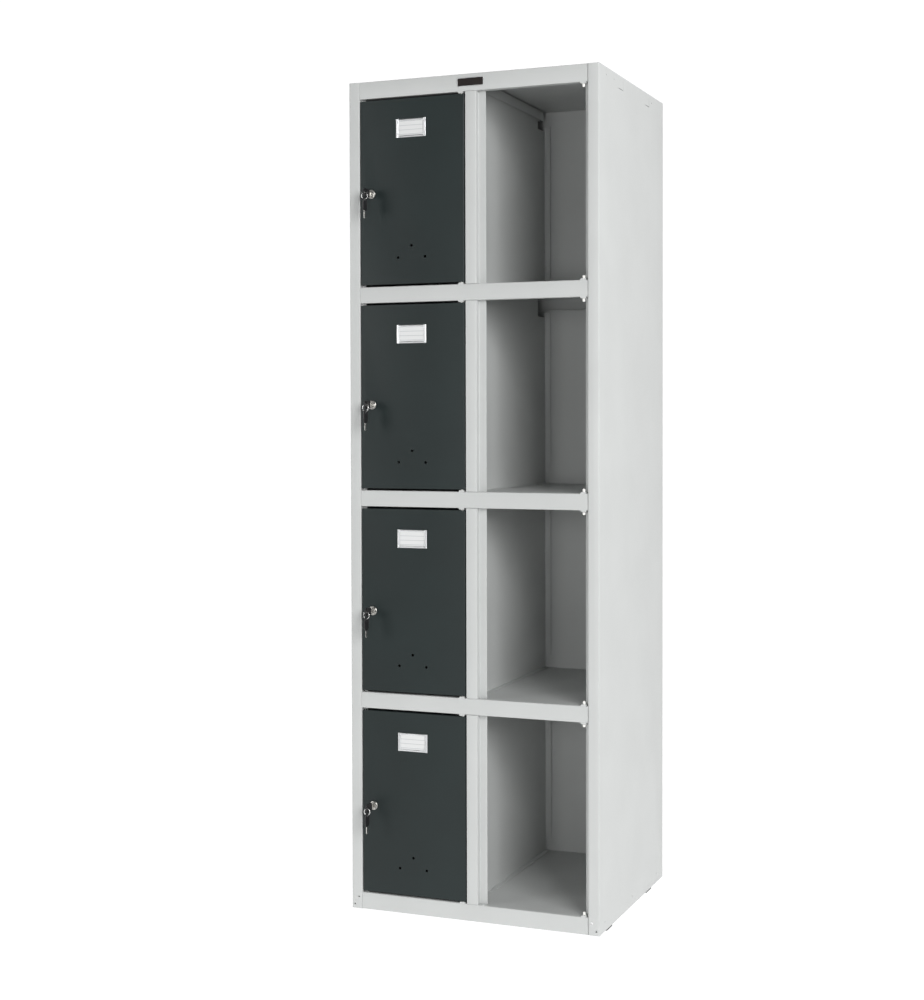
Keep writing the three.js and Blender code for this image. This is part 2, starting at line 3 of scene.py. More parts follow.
import logging
import math
from collections.abc import Callable, Sequence
from dataclasses import dataclass, field
from enum import Enum
from typing import Any

import bmesh
import bpy
from mathutils import Matrix, Vector

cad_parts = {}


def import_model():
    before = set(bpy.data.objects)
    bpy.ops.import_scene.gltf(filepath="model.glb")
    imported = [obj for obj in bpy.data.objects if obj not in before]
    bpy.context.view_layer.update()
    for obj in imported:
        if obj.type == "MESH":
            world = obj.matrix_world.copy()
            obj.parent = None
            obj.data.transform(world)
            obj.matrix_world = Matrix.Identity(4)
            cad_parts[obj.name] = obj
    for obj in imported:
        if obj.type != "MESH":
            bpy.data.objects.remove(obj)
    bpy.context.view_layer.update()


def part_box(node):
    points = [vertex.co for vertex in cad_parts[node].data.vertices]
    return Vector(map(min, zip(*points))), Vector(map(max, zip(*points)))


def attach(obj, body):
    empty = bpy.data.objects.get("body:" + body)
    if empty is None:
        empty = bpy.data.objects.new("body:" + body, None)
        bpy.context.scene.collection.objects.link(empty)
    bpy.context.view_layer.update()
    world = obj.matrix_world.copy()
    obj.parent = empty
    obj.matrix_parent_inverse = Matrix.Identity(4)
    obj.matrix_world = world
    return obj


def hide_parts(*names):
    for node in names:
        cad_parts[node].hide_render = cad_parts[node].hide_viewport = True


log = logging.getLogger("locker")

MM = 0.001
TIERS = 4
FOLD_DEG = 38.0               # a bend gentler than this is shaded smooth
BEVEL_DEG = 40.0              # an edge sharper than this is rounded
NEW_WELD = 1e-7               # points of a new mesh this close are made one, in metres
CARRIED_WELD = 1e-6           # the same for a carried-over mesh
HALVINGS = 40                 # steps of the search for the edge of a rounded rectangle

Colour = tuple[float, float, float, float]
Section = list[Vector]


class Axis(Enum):
    """The axis of the row frame along which a rail or a blade is drawn out."""

    X = 0
    Y = 1
    Z = 2


class KeyPose(Enum):
    """How a key is held: pushed into its lock, or hanging from the ring."""

    IN_LOCK = "in_lock"
    HANGING = "hanging"


# ---------------------------------------------------------------- nodes and finishes


def linear_colour(hex_colour: str) -> Colour:
    """Turns an sRGB hex value into the linear colour that the shader takes.

    Args:
        hex_colour: Six hex digits after a hash sign.

    Returns:
        Linear red, green and blue with an alpha of one.
    """
    channels = [int(hex_colour[i:i + 2], 16) / 255 for i in (1, 3, 5)]
    red, green, blue = (c / 12.92 if c <= 0.04045 else ((c + 0.055) / 1.055) ** 2.4 for c in channels)
    return red, green, blue, 1.0


def add_node(
    tree: bpy.types.NodeTree,
    kind: str,
    settings: dict[str | int, Any] | None = None,
    links: dict[str | int, bpy.types.NodeSocket] | None = None,
) -> bpy.types.Node:
    """Adds one node to a tree.

    Args:
        tree: The node tree of a material, a world or a modifier.
        kind: The node's type name.
        settings: Values by property name, or by input name or number.
        links: Output sockets by the input name or number they feed.

    Returns:
        The new node.
    """
    node = tree.nodes.new(kind)
    for name, value in (settings or {}).items():
        if isinstance(name, str) and name in node.bl_rna.properties:
            setattr(node, name, value)
        else:
            node.inputs[name].default_value = value
    for name, socket in (links or {}).items():
        tree.links.new(socket, node.inputs[name])
    return node


@dataclass(frozen=True)
class Finish:
    """A surface as its maker would order it: what it is made of and how the surface was made."""

    name: str
    slot: str
    colour: str
    shade: str
    roughness: float
    metallic: float = 0.0
    ior: float = 1.5

    def material(self) -> bpy.types.Material:
        """Returns this finish's material, made on the first call."""
        known = bpy.data.materials.get(self.name)
        if known:
            return known
        material = bpy.data.materials.new(self.name)
        material.use_nodes = True
        tree = material.node_tree
        tree.nodes.clear()
        shader = add_node(tree, "ShaderNodeBsdfPrincipled", {
            "Base Color": linear_colour(self.colour),
            "Metallic": self.metallic,
            "Roughness": self.roughness,
        })
        if not self.metallic:
            shader.inputs["IOR"].default_value = self.ior
        coordinates = add_node(tree, "ShaderNodeTexCoord").outputs["Object"]
        self.detail(tree, shader, coordinates)
        add_node(tree, "ShaderNodeOutputMaterial", links={"Surface": shader.outputs["BSDF"]})
        return material

    def detail(
        self, tree: bpy.types.NodeTree, shader: bpy.types.Node, coordinates: bpy.types.NodeSocket
    ) -> None:
        """Adds the grain of the surface.

        Args:
            tree: The material's node tree.
            shader: The surface shader.
            coordinates: The place on the piece, in metres.
        """
        raise NotImplementedError

    def mottle(
        self, tree: bpy.types.NodeTree, shader: bpy.types.Node, pattern: bpy.types.NodeSocket
    ) -> None:
        """Lets the base colour wander between the finish's two tones.

        Args:
            tree: The material's node tree.
            shader: The surface shader.
            pattern: A value around one half that picks the tone.
        """
        amount = add_node(tree, "ShaderNodeMapRange", {"From Min": 0.35, "From Max": 0.65},
                          {"Value": pattern})
        tones = add_node(tree, "ShaderNodeMix", {
            "data_type": "RGBA",
            6: linear_colour(self.colour),
            7: linear_colour(self.shade),
        }, {0: amount.outputs["Result"]})
        tree.links.new(tones.outputs[2], shader.inputs["Base Color"])

    def vary_roughness(
        self, tree: bpy.types.NodeTree, shader: bpy.types.Node, pattern: bpy.types.NodeSocket, swing: float
    ) -> None:
        """Lets the gloss wander about the finish's roughness.

        Args:
            tree: The material's node tree.
            shader: The surface shader.
            pattern: A value around one half.
            swing: How far the roughness goes up and down.
        """
        spread = add_node(tree, "ShaderNodeMapRange", {
            "From Min": 0.3,
            "From Max": 0.7,
            "To Min": self.roughness - swing,
            "To Max": self.roughness + swing,
        }, {"Value": pattern})
        tree.links.new(spread.outputs["Result"], shader.inputs["Roughness"])

    def relief(
        self,
        tree: bpy.types.NodeTree,
        shader: bpy.types.Node,
        pattern: bpy.types.NodeSocket,
        height_mm: float,
        strength: float,
    ) -> None:
        """Adds the fine relief of the surface.

        Args:
            tree: The material's node tree.
            shader: The surface shader.
            pattern: The height, from zero to one.
            height_mm: What one unit of the height measures.
            strength: How much of it shows.
        """
        bump = add_node(tree, "ShaderNodeBump", {"Distance": height_mm * MM, "Strength": strength},
                        {"Height": pattern})
        tree.links.new(bump.outputs["Normal"], shader.inputs["Normal"])


@dataclass(frozen=True)
class PowderCoat(Finish):
    """Polyester powder sprayed on steel sheet and cured in an oven."""

    peel_mm: float = 3.2          # real orange peel is 1 to 2 mm: drawn coarser so that it shows
    cloud_mm: float = 140.0       # slow drift of the film thickness over a panel

    def detail(
        self, tree: bpy.types.NodeTree, shader: bpy.types.Node, coordinates: bpy.types.NodeSocket
    ) -> None:
        """Adds orange peel and the slow drift of tone.

        Args:
            tree: The material's node tree.
            shader: The surface shader.
            coordinates: The place on the piece, in metres.
        """
        peel = add_node(tree, "ShaderNodeTexNoise", {
            "Scale": 1 / (self.peel_mm * MM),
            "Detail": 2.0,
            "Roughness": 0.45,
        }, {"Vector": coordinates}).outputs[0]
        cloud = add_node(tree, "ShaderNodeTexNoise", {
            "Scale": 1 / (self.cloud_mm * MM),
            "Detail": 3.0,
        }, {"Vector": coordinates}).outputs[0]
        self.mottle(tree, shader, cloud)
        self.vary_roughness(tree, shader, peel, 0.05)
        self.relief(tree, shader, peel, height_mm=0.035, strength=0.5)


@dataclass(frozen=True)
class PlatedMetal(Finish):
    """Metal with a thin plated or polished skin that shows fine marks of handling."""

    mark_mm: float = 0.6
    stretch: float = 6.0

    def detail(
        self, tree: bpy.types.NodeTree, shader: bpy.types.Node, coordinates: bpy.types.NodeSocket
    ) -> None:
        """Adds drawn-out polishing marks and a faint unevenness of tone.

        Args:
            tree: The material's node tree.
            shader: The surface shader.
            coordinates: The place on the piece, in metres.
        """
        drawn = add_node(tree, "ShaderNodeMapping", {"Scale": (1.0, 1.0, 1 / self.stretch)},
                         {"Vector": coordinates}).outputs[0]
        marks = add_node(tree, "ShaderNodeTexNoise", {
            "Scale": 1 / (self.mark_mm * MM),
            "Detail": 3.0,
        }, {"Vector": drawn}).outputs[0]
        self.mottle(tree, shader, marks)
        self.vary_roughness(tree, shader, marks, 0.06)
        self.relief(tree, shader, marks, height_mm=0.01, strength=0.35)


@dataclass(frozen=True)
class MouldedPlastic(Finish):
    """Plastic from a spark-eroded mould, with a fine even grain."""

    grain_mm: float = 0.5

    def detail(
        self, tree: bpy.types.NodeTree, shader: bpy.types.Node, coordinates: bpy.types.NodeSocket
    ) -> None:
        """Adds the grain of the mould.

        Args:
            tree: The material's node tree.
            shader: The surface shader.
            coordinates: The place on the piece, in metres.
        """
        grain = add_node(tree, "ShaderNodeTexVoronoi", {"Scale": 1 / (self.grain_mm * MM)},
                         {"Vector": coordinates}).outputs["Distance"]
        flow = add_node(tree, "ShaderNodeTexNoise", {"Scale": 1 / (12 * self.grain_mm * MM)},
                        {"Vector": coordinates}).outputs[0]
        self.mottle(tree, shader, flow)
        self.vary_roughness(tree, shader, grain, 0.06)
        self.relief(tree, shader, grain, height_mm=0.03, strength=0.4)


@dataclass(frozen=True)
class RuledCard(Finish):
    """Pale index card with printed writing lines."""

    pitch_mm: float = 9.5
    line_mm: float = 1.2          # a printed line is 0.3 mm: drawn wider so that it shows
    ink: str = "#B4B7B8"
    fibre_mm: float = 0.5

    def detail(
        self, tree: bpy.types.NodeTree, shader: bpy.types.Node, coordinates: bpy.types.NodeSocket
    ) -> None:
        """Adds the printed lines and the fibre of the card.

        Args:
            tree: The material's node tree.
            shader: The surface shader.
            coordinates: The place on the piece, in metres.
        """
        height = add_node(tree, "ShaderNodeSeparateXYZ", links={"Vector": coordinates}).outputs["Z"]
        fibre = add_node(tree, "ShaderNodeTexNoise", {
            "Scale": 1 / (self.fibre_mm * MM),
            "Detail": 4.0,
        }, {"Vector": coordinates}).outputs[0]
        step = add_node(tree, "ShaderNodeMath", {"operation": "PINGPONG", 1: self.pitch_mm * MM / 2},
                        {0: height}).outputs[0]
        line = add_node(tree, "ShaderNodeMapRange", {
            "From Min": self.line_mm * MM * 0.3,
            "From Max": self.line_mm * MM * 0.7,
            "To Min": 1.0,
            "To Max": 0.0,
        }, {"Value": step}).outputs["Result"]
        paper = add_node(tree, "ShaderNodeMix", {
            "data_type": "RGBA",
            6: linear_colour(self.colour),
            7: linear_colour(self.shade),
        }, {0: fibre}).outputs[2]
        printed = add_node(tree, "ShaderNodeMix", {"data_type": "RGBA", 7: linear_colour(self.ink)},
                           {0: line, 6: paper}).outputs[2]
        tree.links.new(printed, shader.inputs["Base Color"])
        self.vary_roughness(tree, shader, fibre, 0.05)
        self.relief(tree, shader, fibre, height_mm=0.02, strength=0.5)


# Light grey polyester powder coat on folded sheet: an even, half-gloss skin with soft wide highlights.
LIGHT_COAT = PowderCoat("light_grey_powder_coat", "light_grey_paint", "#BDBFBE", "#BABCBB", 0.42)
# Anthracite polyester powder coat: dark, faintly green-grey, with the sheen of the peel.
DARK_COAT = PowderCoat("anthracite_powder_coat", "anthracite_paint", "#1B2525", "#192222", 0.5,
                       ior=1.4)
# Bright nickel on a zinc die casting: the warm, softly shining face of the lock.
NICKEL = PlatedMetal("nickel_plated_die_casting", "nickel_plate", "#B9B8B4", "#A8A6A1", 0.3, metallic=1.0)
# Bright zinc on pressed steel: cooler and duller than nickel.
ZINC = PlatedMetal("zinc_plated_pressed_steel", "zinc_plate", "#BFC3C7", "#A9ADB2", 0.36, metallic=1.0,
                   mark_mm=2.0)
# Pressed aluminium with a satin anodised skin: a pale, soft-edged shine.
ALUMINIUM = PlatedMetal("satin_anodised_aluminium", "satin_aluminium", "#E6E7E8", "#D8DADB", 0.42,
                        metallic=1.0, mark_mm=0.8, stretch=0.2)
# Polished spring wire, rubbed by the keys: bright, soft-edged highlights.
SPRING_WIRE = PlatedMetal("polished_spring_wire", "chrome_wire", "#EFEFEE", "#E2E2E1", 0.26, metallic=1.0)
# Nickel silver key blank, milled and tumbled: pale and slightly warm.
KEY_BLADE = PlatedMetal("tumbled_nickel_silver", "nickel_plate", "#D6D5D1", "#C8C7C3", 0.32, metallic=1.0,
                        mark_mm=0.9)
# Black ABS from a grained mould: the dull head of a key.
KEY_HEAD = MouldedPlastic("moulded_black_abs", "black_plastic", "#1B1B1D", "#202022", 0.42, ior=1.54)
# White nylon turned and tumbled: bright and slightly waxy pins.
NYLON = MouldedPlastic("white_nylon", "white_nylon", "#F3F3EF", "#E9E9E4", 0.45, ior=1.53)
# Black polyethylene from a grained mould: soft-looking feet with a grey sheen.
FOOT_PLASTIC = MouldedPlastic("moulded_black_polyethylene", "black_rubber", "#1D1D1D", "#242424", 0.55,
                              ior=1.51, grain_mm=0.8)
# Dark enamel on a pressed plate, lightly rubbed: plain and nearly black.
BADGE_ENAMEL = PlatedMetal("dark_enamelled_plate", "dark_plate", "#1B1716", "#241E1C", 0.4,
                           mark_mm=1.5, ior=1.4)
# Uncoated index card: a flat off-white with grey writing lines.
CARD = RuledCard("ruled_index_card", "white_nylon", "#D6D7D7", "#CFD0D0", 0.85)


# ---------------------------------------------------------------- mesh tools


def placed(name: str, data: bpy.types.ID) -> bpy.types.Object:
    """Makes an object and links it to the scene.

    Args:
        name: The object's name.
        data: Its mesh, lamp or camera.

    Returns:
        The object.
    """
    made = bpy.data.objects.new(name, data)
    bpy.context.scene.collection.objects.link(made)
    return made


def loft(mesh: bmesh.types.BMesh, sections: Sequence[Section], closed: bool) -> None:
    """Joins sections of equal length with quads, and caps the two ends where they don't meet.

    Args:
        mesh: The mesh that takes the faces.
        sections: Closed outlines, one after another.
        closed: Whether the last section joins the first.
    """
    rings = [[mesh.verts.new(point) for point in section] for section in sections]
    count = len(rings[0])
    spans = list(zip(rings, rings[1:] + rings[:1])) if closed else list(zip(rings, rings[1:]))
    for here, there in spans:
        for i in range(count):
            j = (i + 1) % count
            mesh.faces.new((here[i], here[j], there[j], there[i]))
    if not closed:
        mesh.faces.new(list(reversed(rings[0])))
        mesh.faces.new(rings[-1])


def turned(
    mesh: bmesh.types.BMesh, profile: Sequence[tuple[float, float]], centre: Vector, sides: int = 48
) -> None:
    """Turns a profile about an axis along Y.

    Args:
        mesh: The mesh that takes the faces.
        profile: Radius and place along Y of each point, in metres, round a closed outline.
        centre: A point on the axis.
        sides: How many facets the round has.
    """
    sections = []
    for step in range(sides):
        angle = 2 * math.pi * step / sides
        sections.append([
            Vector((centre.x + r * math.cos(angle), y, centre.z + r * math.sin(angle))) for r, y in profile
        ])
    loft(mesh, sections, closed=True)


def drawn_out(
    mesh: bmesh.types.BMesh, outline: Sequence[tuple[float, float]], axis: Axis, start: float, end: float
) -> None:
    """Draws a flat outline out along an axis.

    Args:
        mesh: The mesh that takes the faces.
        outline: Points in the other two axes, in their order X, Y, Z.
        axis: The direction of the draw.
        start: Where the piece begins on that axis.
        end: Where it ends.
    """
    sections = []
    for place in (start, end):
        section = []
        for a, b in outline:
            point = [a, b]
            point.insert(axis.value, place)
            section.append(Vector(point))
        sections.append(section)
    loft(mesh, sections, closed=False)


def rounded_reach(half_width: float, half_height: float, corner: float, origin: tuple[float, float]
                  ) -> Callable[[float], float]:
    """Makes a function that measures from a point inside a rounded rectangle out to its edge.

    Args:
        half_width: Half the rectangle's width.
        half_height: Half its height.
        corner: The radius of its corners.
        origin: The point, from the rectangle's middle.

    Returns:
        A function from an angle to the distance to the edge.
    """
    def inside(u: float, v: float) -> bool:
        du = max(abs(u) - (half_width - corner), 0.0)
        dv = max(abs(v) - (half_height - corner), 0.0)
        return math.hypot(du, dv) <= corner

    def reach(angle: float) -> float:
        low, high = 0.0, 2 * (half_width + half_height)
        for _ in range(HALVINGS):
            middle = (low + high) / 2
            u = origin[0] + middle * math.cos(angle)
            v = origin[1] + middle * math.sin(angle)
            low, high = (middle, high) if inside(u, v) else (low, middle)
        return low

    return reach


def pierced(
    mesh: bmesh.types.BMesh,
    place: Callable[[float, float, float], Vector],
    hole: float,
    reach: Callable[[float], float],
    steps: Sequence[tuple[float, float]],
    rays: int = 48,
) -> None:
    """Makes a flat piece with a round hole, with the same section along each ray from the hole.

    Args:
        mesh: The mesh that takes the faces.
        place: Turns two flat coordinates and a height into a point.
        hole: The radius of the hole.
        reach: The distance from the hole's middle to the outer edge, by angle.
        steps: The section from the hole to the edge: share of the way, and height on both faces.
        rays: How many rays there are.
    """
    sections = []
    for step in range(rays):
        angle = 2 * math.pi * step / rays
        outer = reach(angle)
        radii = [(hole + share * (outer - hole), height) for share, height in steps]
        flat = [(r * math.cos(angle), r * math.sin(angle), h) for r, h in radii]
        back = [(u, v, -h) for u, v, h in reversed(flat)]
        sections.append([place(*point) for point in flat + back])
    loft(mesh, sections, closed=True)


@dataclass
class Piece:
    """A new mesh on its way to becoming a piece of the cabinet."""

    name: str
    finish: Finish
    body: str
    stands_for: tuple[str, ...] = ()
    bevel_mm: float = 0.0
    sharp_deg: float = FOLD_DEG
    mesh: bmesh.types.BMesh = field(default_factory=bmesh.new)

    def finished(self) -> bpy.types.Object:
        """Cleans the mesh, gives it its finish and puts it on its body.

        Returns:
            The object.
        """
        bmesh.ops.remove_doubles(self.mesh, verts=self.mesh.verts, dist=NEW_WELD)
        bmesh.ops.recalc_face_normals(self.mesh, faces=self.mesh.faces)
        for face in self.mesh.faces:
            face.smooth = True
        for edge in self.mesh.edges:
            edge.smooth = len(edge.link_faces) == 2 and edge.calc_face_angle(0) < math.radians(self.sharp_deg)
        data = bpy.data.meshes.new(self.name)
        self.mesh.to_mesh(data)
        self.mesh.free()
        data.materials.append(self.finish.material())
        piece = placed(self.name, data)
        if self.bevel_mm:
            soften(piece, self.bevel_mm)
        seat(piece, self.finish, self.body, self.stands_for)
        return piece


def soften(piece: bpy.types.Object, width_mm: float) -> None:
    """Rounds the hard edges of a piece.

    Args:
        piece: The object.
        width_mm: The width of the rounding.
    """
    bevel = piece.modifiers.new("soft_edges", "BEVEL")
    bevel.width = width_mm * MM
    bevel.segments = 2
    bevel.limit_method = "ANGLE"
    bevel.angle_limit = math.radians(BEVEL_DEG)
    bevel.harden_normals = True


def seat(piece: bpy.types.Object, finish: Finish, body: str, stands_for: tuple[str, ...]) -> None:
    """Puts a piece on its body and hides the plain nodes it takes the place of.

    Args:
        piece: The object, already in place.
        finish: The finish it wears.
        body: The body it rides on.
        stands_for: The plain nodes it takes the place of.
    """
    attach(piece, body)
    if stands_for:
        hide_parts(*stands_for)
    log.info("%s: %s on %s", piece.name, finish.name, body)


def fold_smoother() -> bpy.types.NodeTree:
    """Returns the modifier that welds a plain mesh and smooths its bends but not its cut edges."""
    known = bpy.data.node_groups.get("fold_smoother")
    if known:
        return known
    tree = bpy.data.node_groups.new("fold_smoother", "GeometryNodeTree")
    tree.interface.new_socket("Geometry", in_out="INPUT", socket_type="NodeSocketGeometry")
    tree.interface.new_socket("Geometry", in_out="OUTPUT", socket_type="NodeSocketGeometry")
    taken = add_node(tree, "NodeGroupInput").outputs[0]
    welded = add_node(tree, "GeometryNodeMergeByDistance", {"Distance": CARRIED_WELD},
                      {"Geometry": taken}).outputs[0]
    bare = add_node(tree, "GeometryNodeRemoveAttribute", {"Name": "custom_normal"},
                    {"Geometry": welded}).outputs[0]
    angle = add_node(tree, "GeometryNodeInputMeshEdgeAngle").outputs[0]
    gentle = add_node(tree, "FunctionNodeCompare", {"operation": "LESS_THAN", 1: math.radians(FOLD_DEG)},
                      {0: angle}).outputs[0]
    faces = add_node(tree, "GeometryNodeSetShadeSmooth", {"domain": "FACE"}, {"Geometry": bare}).outputs[0]
    edges = add_node(tree, "GeometryNodeSetShadeSmooth", {"domain": "EDGE"},
                     {"Geometry": faces, "Shade Smooth": gentle}).outputs[0]
    add_node(tree, "NodeGroupOutput", links={0: edges})
    return tree


def dress(node: str, finish: Finish, bevel_mm: float = 0.0) -> None:
    """Gives a carried-over node its finish and its soft edges.

    Args:
        node: The node's name.
        finish: What it wears.
        bevel_mm: The width of its edge rounding, or none.
    """
    piece = bpy.data.objects[node]
    for place in piece.material_slots:
        place.material = finish.material()
    smooth = piece.modifiers.new("fold_smoother", "NODES")
    smooth.node_group = fold_smoother()
    if bevel_mm:
        soften(piece, bevel_mm)
    log.info("%s: %s", node, finish.name)


# ---------------------------------------------------------------- carcass


@dataclass
class Carcass:
    """The folded sheets, with their pins, feet, rivets and name plate."""

    sheets: tuple[str, ...] = (
        "side_panel_left", "side_panel_right", "back_panel", "roof_panel", "roof_channel", "base_panel",
        "shelf_1", "shelf_2", "shelf_3", "divider_1", "divider_2", "divider_3", "divider_4",
    )
    rivet_radius_mm: float = 3.0
    rivet_height_mm: float = 1.1
    rivet_eye_mm: tuple[float, float] = (0.8, 0.7)        # radius at the mouth and at the floor
    rivet_facets: int = 20
    badge_rim_mm: float = 0.9
    badge_corners_mm: tuple[float, float] = (1.6, 1.0)    # outside and inside the rim
    badge_recess_mm: float = 0.15

    def dress(self) -> None:
        """Paints the sheets and gives the pins and feet their plastic."""
        for sheet in self.sheets:
            dress(sheet, LIGHT_COAT)
        for column in ("left", "right"):
            for pin in ("top", "1", "2", "3", "base"):
                dress(f"hinge_pin_{column}_{pin}", NYLON)
            for place in ("front", "rear"):
                dress(f"foot_{column}_{place}", FOOT_PLASTIC, bevel_mm=0.6)

    def build_rivets(self) -> None:
        """Sets the blind rivets that hold the back sheet to the shelves."""
        low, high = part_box("back_panel")
        half = (high.x - low.x) / 4
        outside = Piece("back_rivets", LIGHT_COAT, "carcass")
        radius, height = self.rivet_radius_mm * MM, self.rivet_height_mm * MM
        eye_mouth, eye_floor = (size * MM for size in self.rivet_eye_mm)
        for number in (1, 2, 3):
            shelf_low, shelf_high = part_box(f"shelf_{number}")
            for side in (-1, 1):
                centre = Vector((side * half, high.y, (shelf_low.z + shelf_high.z) / 2))
                dome = [(radius * math.cos(a), high.y + height * math.sin(a))
                        for a in (0, math.pi / 8, math.pi / 4, 3 * math.pi / 8)]
                profile = [(0, high.y), *dome, (eye_mouth, high.y + height),
                           (eye_floor, high.y + 0.5 * height), (0, high.y + 0.5 * height)]
                turned(outside.mesh, profile, centre, self.rivet_facets)
        outside.finished()

    def build_badge(self) -> None:
        """Makes the plain name plate: a dark plate in a light rim."""
        low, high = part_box("name_plate")
        middle = (low + high) / 2
        rim = self.badge_rim_mm * MM
        half_width, half_height = (high.x - low.x) / 2, (high.z - low.z) / 2
        outer_corner, inner_corner = (radius * MM for radius in self.badge_corners_mm)
        outer = rounded_outline(half_width, half_height, outer_corner, middle)
        inner = rounded_outline(half_width - rim, half_height - rim, inner_corner, middle)
        plate = Piece("badge_plate", BADGE_ENAMEL, "carcass", ("name_plate",), bevel_mm=0.15)
        drawn_out(plate.mesh, inner, Axis.Y, low.y + self.badge_recess_mm * MM, high.y)
        plate.finished()
        frame = Piece("badge_rim", ALUMINIUM, "carcass", bevel_mm=0.12)
        sections = []
        for (ox, oz), (ix, iz) in zip(outer, inner):
            sections.append([
                Vector((ox, low.y, oz)), Vector((ix, low.y, iz)), Vector((ix, high.y, iz)),
                Vector((ox, high.y, oz)),
            ])
        loft(frame.mesh, sections, closed=True)
        frame.finished()


def rounded_outline(half_width: float, half_height: float, corner: float, middle: Vector
                    ) -> list[tuple[float, float]]:
    """Returns the outline of a rounded rectangle that faces the front.

    Args:
        half_width: Half its width.
        half_height: Half its height.
        corner: The radius of its corners.
        middle: Its middle.

    Returns:
        X and Z of each point, anticlockwise from the right.
    """
    points = []
    for quarter, (su, sv) in enumerate(((1, 1), (-1, 1), (-1, -1), (1, -1))):
        for step in range(5):
            angle = math.pi / 2 * (quarter + step / 4)
            points.append((
                middle.x + su * (half_width - corner) + corner * math.cos(angle),
                middle.z + sv * (half_height - corner) + corner * math.sin(angle),
            ))
    return points


# ---------------------------------------------------------------- label


@dataclass
class Label:
    """The pressed label holder of a door, and the card in it."""

    number: int
    side_rail: tuple[tuple[float, float], ...] = (
        (0.0, 0.0), (0.0, 1.5), (0.3, 2.0), (0.9, 2.35), (2.0, 2.4), (2.9, 2.2), (3.3, 1.8), (3.4, 0.85),
        (4.3, 0.85), (4.4, 1.7), (4.9, 1.95), (5.6, 1.9), (6.0, 1.5), (6.0, 1.0), (5.2, 1.4), (4.8, 1.3),
        (4.75, 0.4), (2.95, 0.4), (2.85, 1.5), (1.9, 1.9), (1.0, 1.85), (0.65, 1.5), (0.5, 1.2), (0.5, 0.0),
    )
    cross_rail: tuple[tuple[float, float], ...] = (
        (0.0, 0.0), (0.0, 0.6), (0.5, 1.15), (1.5, 1.55), (2.4, 1.6), (3.4, 1.45), (4.1, 1.1), (4.5, 0.7),
        (4.5, 0.4), (3.9, 0.75), (3.2, 1.0), (2.4, 1.1), (1.5, 1.05), (0.8, 0.7), (0.5, 0.4), (0.5, 0.0),
    )
    cross_inset_mm: float = 6.0
    card_mm: tuple[float, float, float] = (65.0, 33.0, 0.3)
    card_gap_mm: float = 0.05     # between the card and the door
    card_bow_mm: float = 0.15
    card_steps: int = 8

    @property
    def body(self) -> str:
        """The body of the door."""
        return f"door_{self.number}_leaf"

    def build_holder(self) -> None:
        """Makes the holder: two high side rails, and two low rails across."""
        node = f"label_holder_{self.number}"
        low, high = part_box(node)
        holder = Piece(f"label_frame_{self.number}", ALUMINIUM, self.body, (node,), sharp_deg=50)
        for side, edge in ((1, low.x), (-1, high.x)):
            outline = [(edge + side * u * MM, high.y - h * MM) for u, h in self.side_rail]
            drawn_out(holder.mesh, outline, Axis.Z, low.z, high.z)
        inset = self.cross_inset_mm * MM
        for side, edge in ((1, low.z), (-1, high.z)):
            outline = [(high.y - h * MM, edge + side * u * MM) for u, h in self.cross_rail]
            drawn_out(holder.mesh, outline, Axis.X, low.x + inset, high.x - inset)
        holder.finished()

    def build_card(self) -> None:
        """Makes the card, a little bowed between the rails."""
        low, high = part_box(f"label_holder_{self.number}")
        middle = (low + high) / 2
        width, height, thickness = (size * MM for size in self.card_mm)
        card = Piece(f"label_card_{self.number}", CARD, self.body)
        back = high.y - self.card_gap_mm * MM
        sections = []
        for step in range(self.card_steps + 1):
            u = step / self.card_steps * 2 - 1
            bow = self.card_bow_mm * MM * (1 - u * u)
            x = middle.x + u * width / 2
            front = back - thickness - bow
            sections.append([
                Vector((x, back - bow, middle.z - height / 2)), Vector((x, front, middle.z - height / 2)),
                Vector((x, front, middle.z + height / 2)), Vector((x, back - bow, middle.z + height / 2)),
            ])
        loft(card.mesh, sections, closed=False)
        card.finished()


# ---------------------------------------------------------------- lock and keys


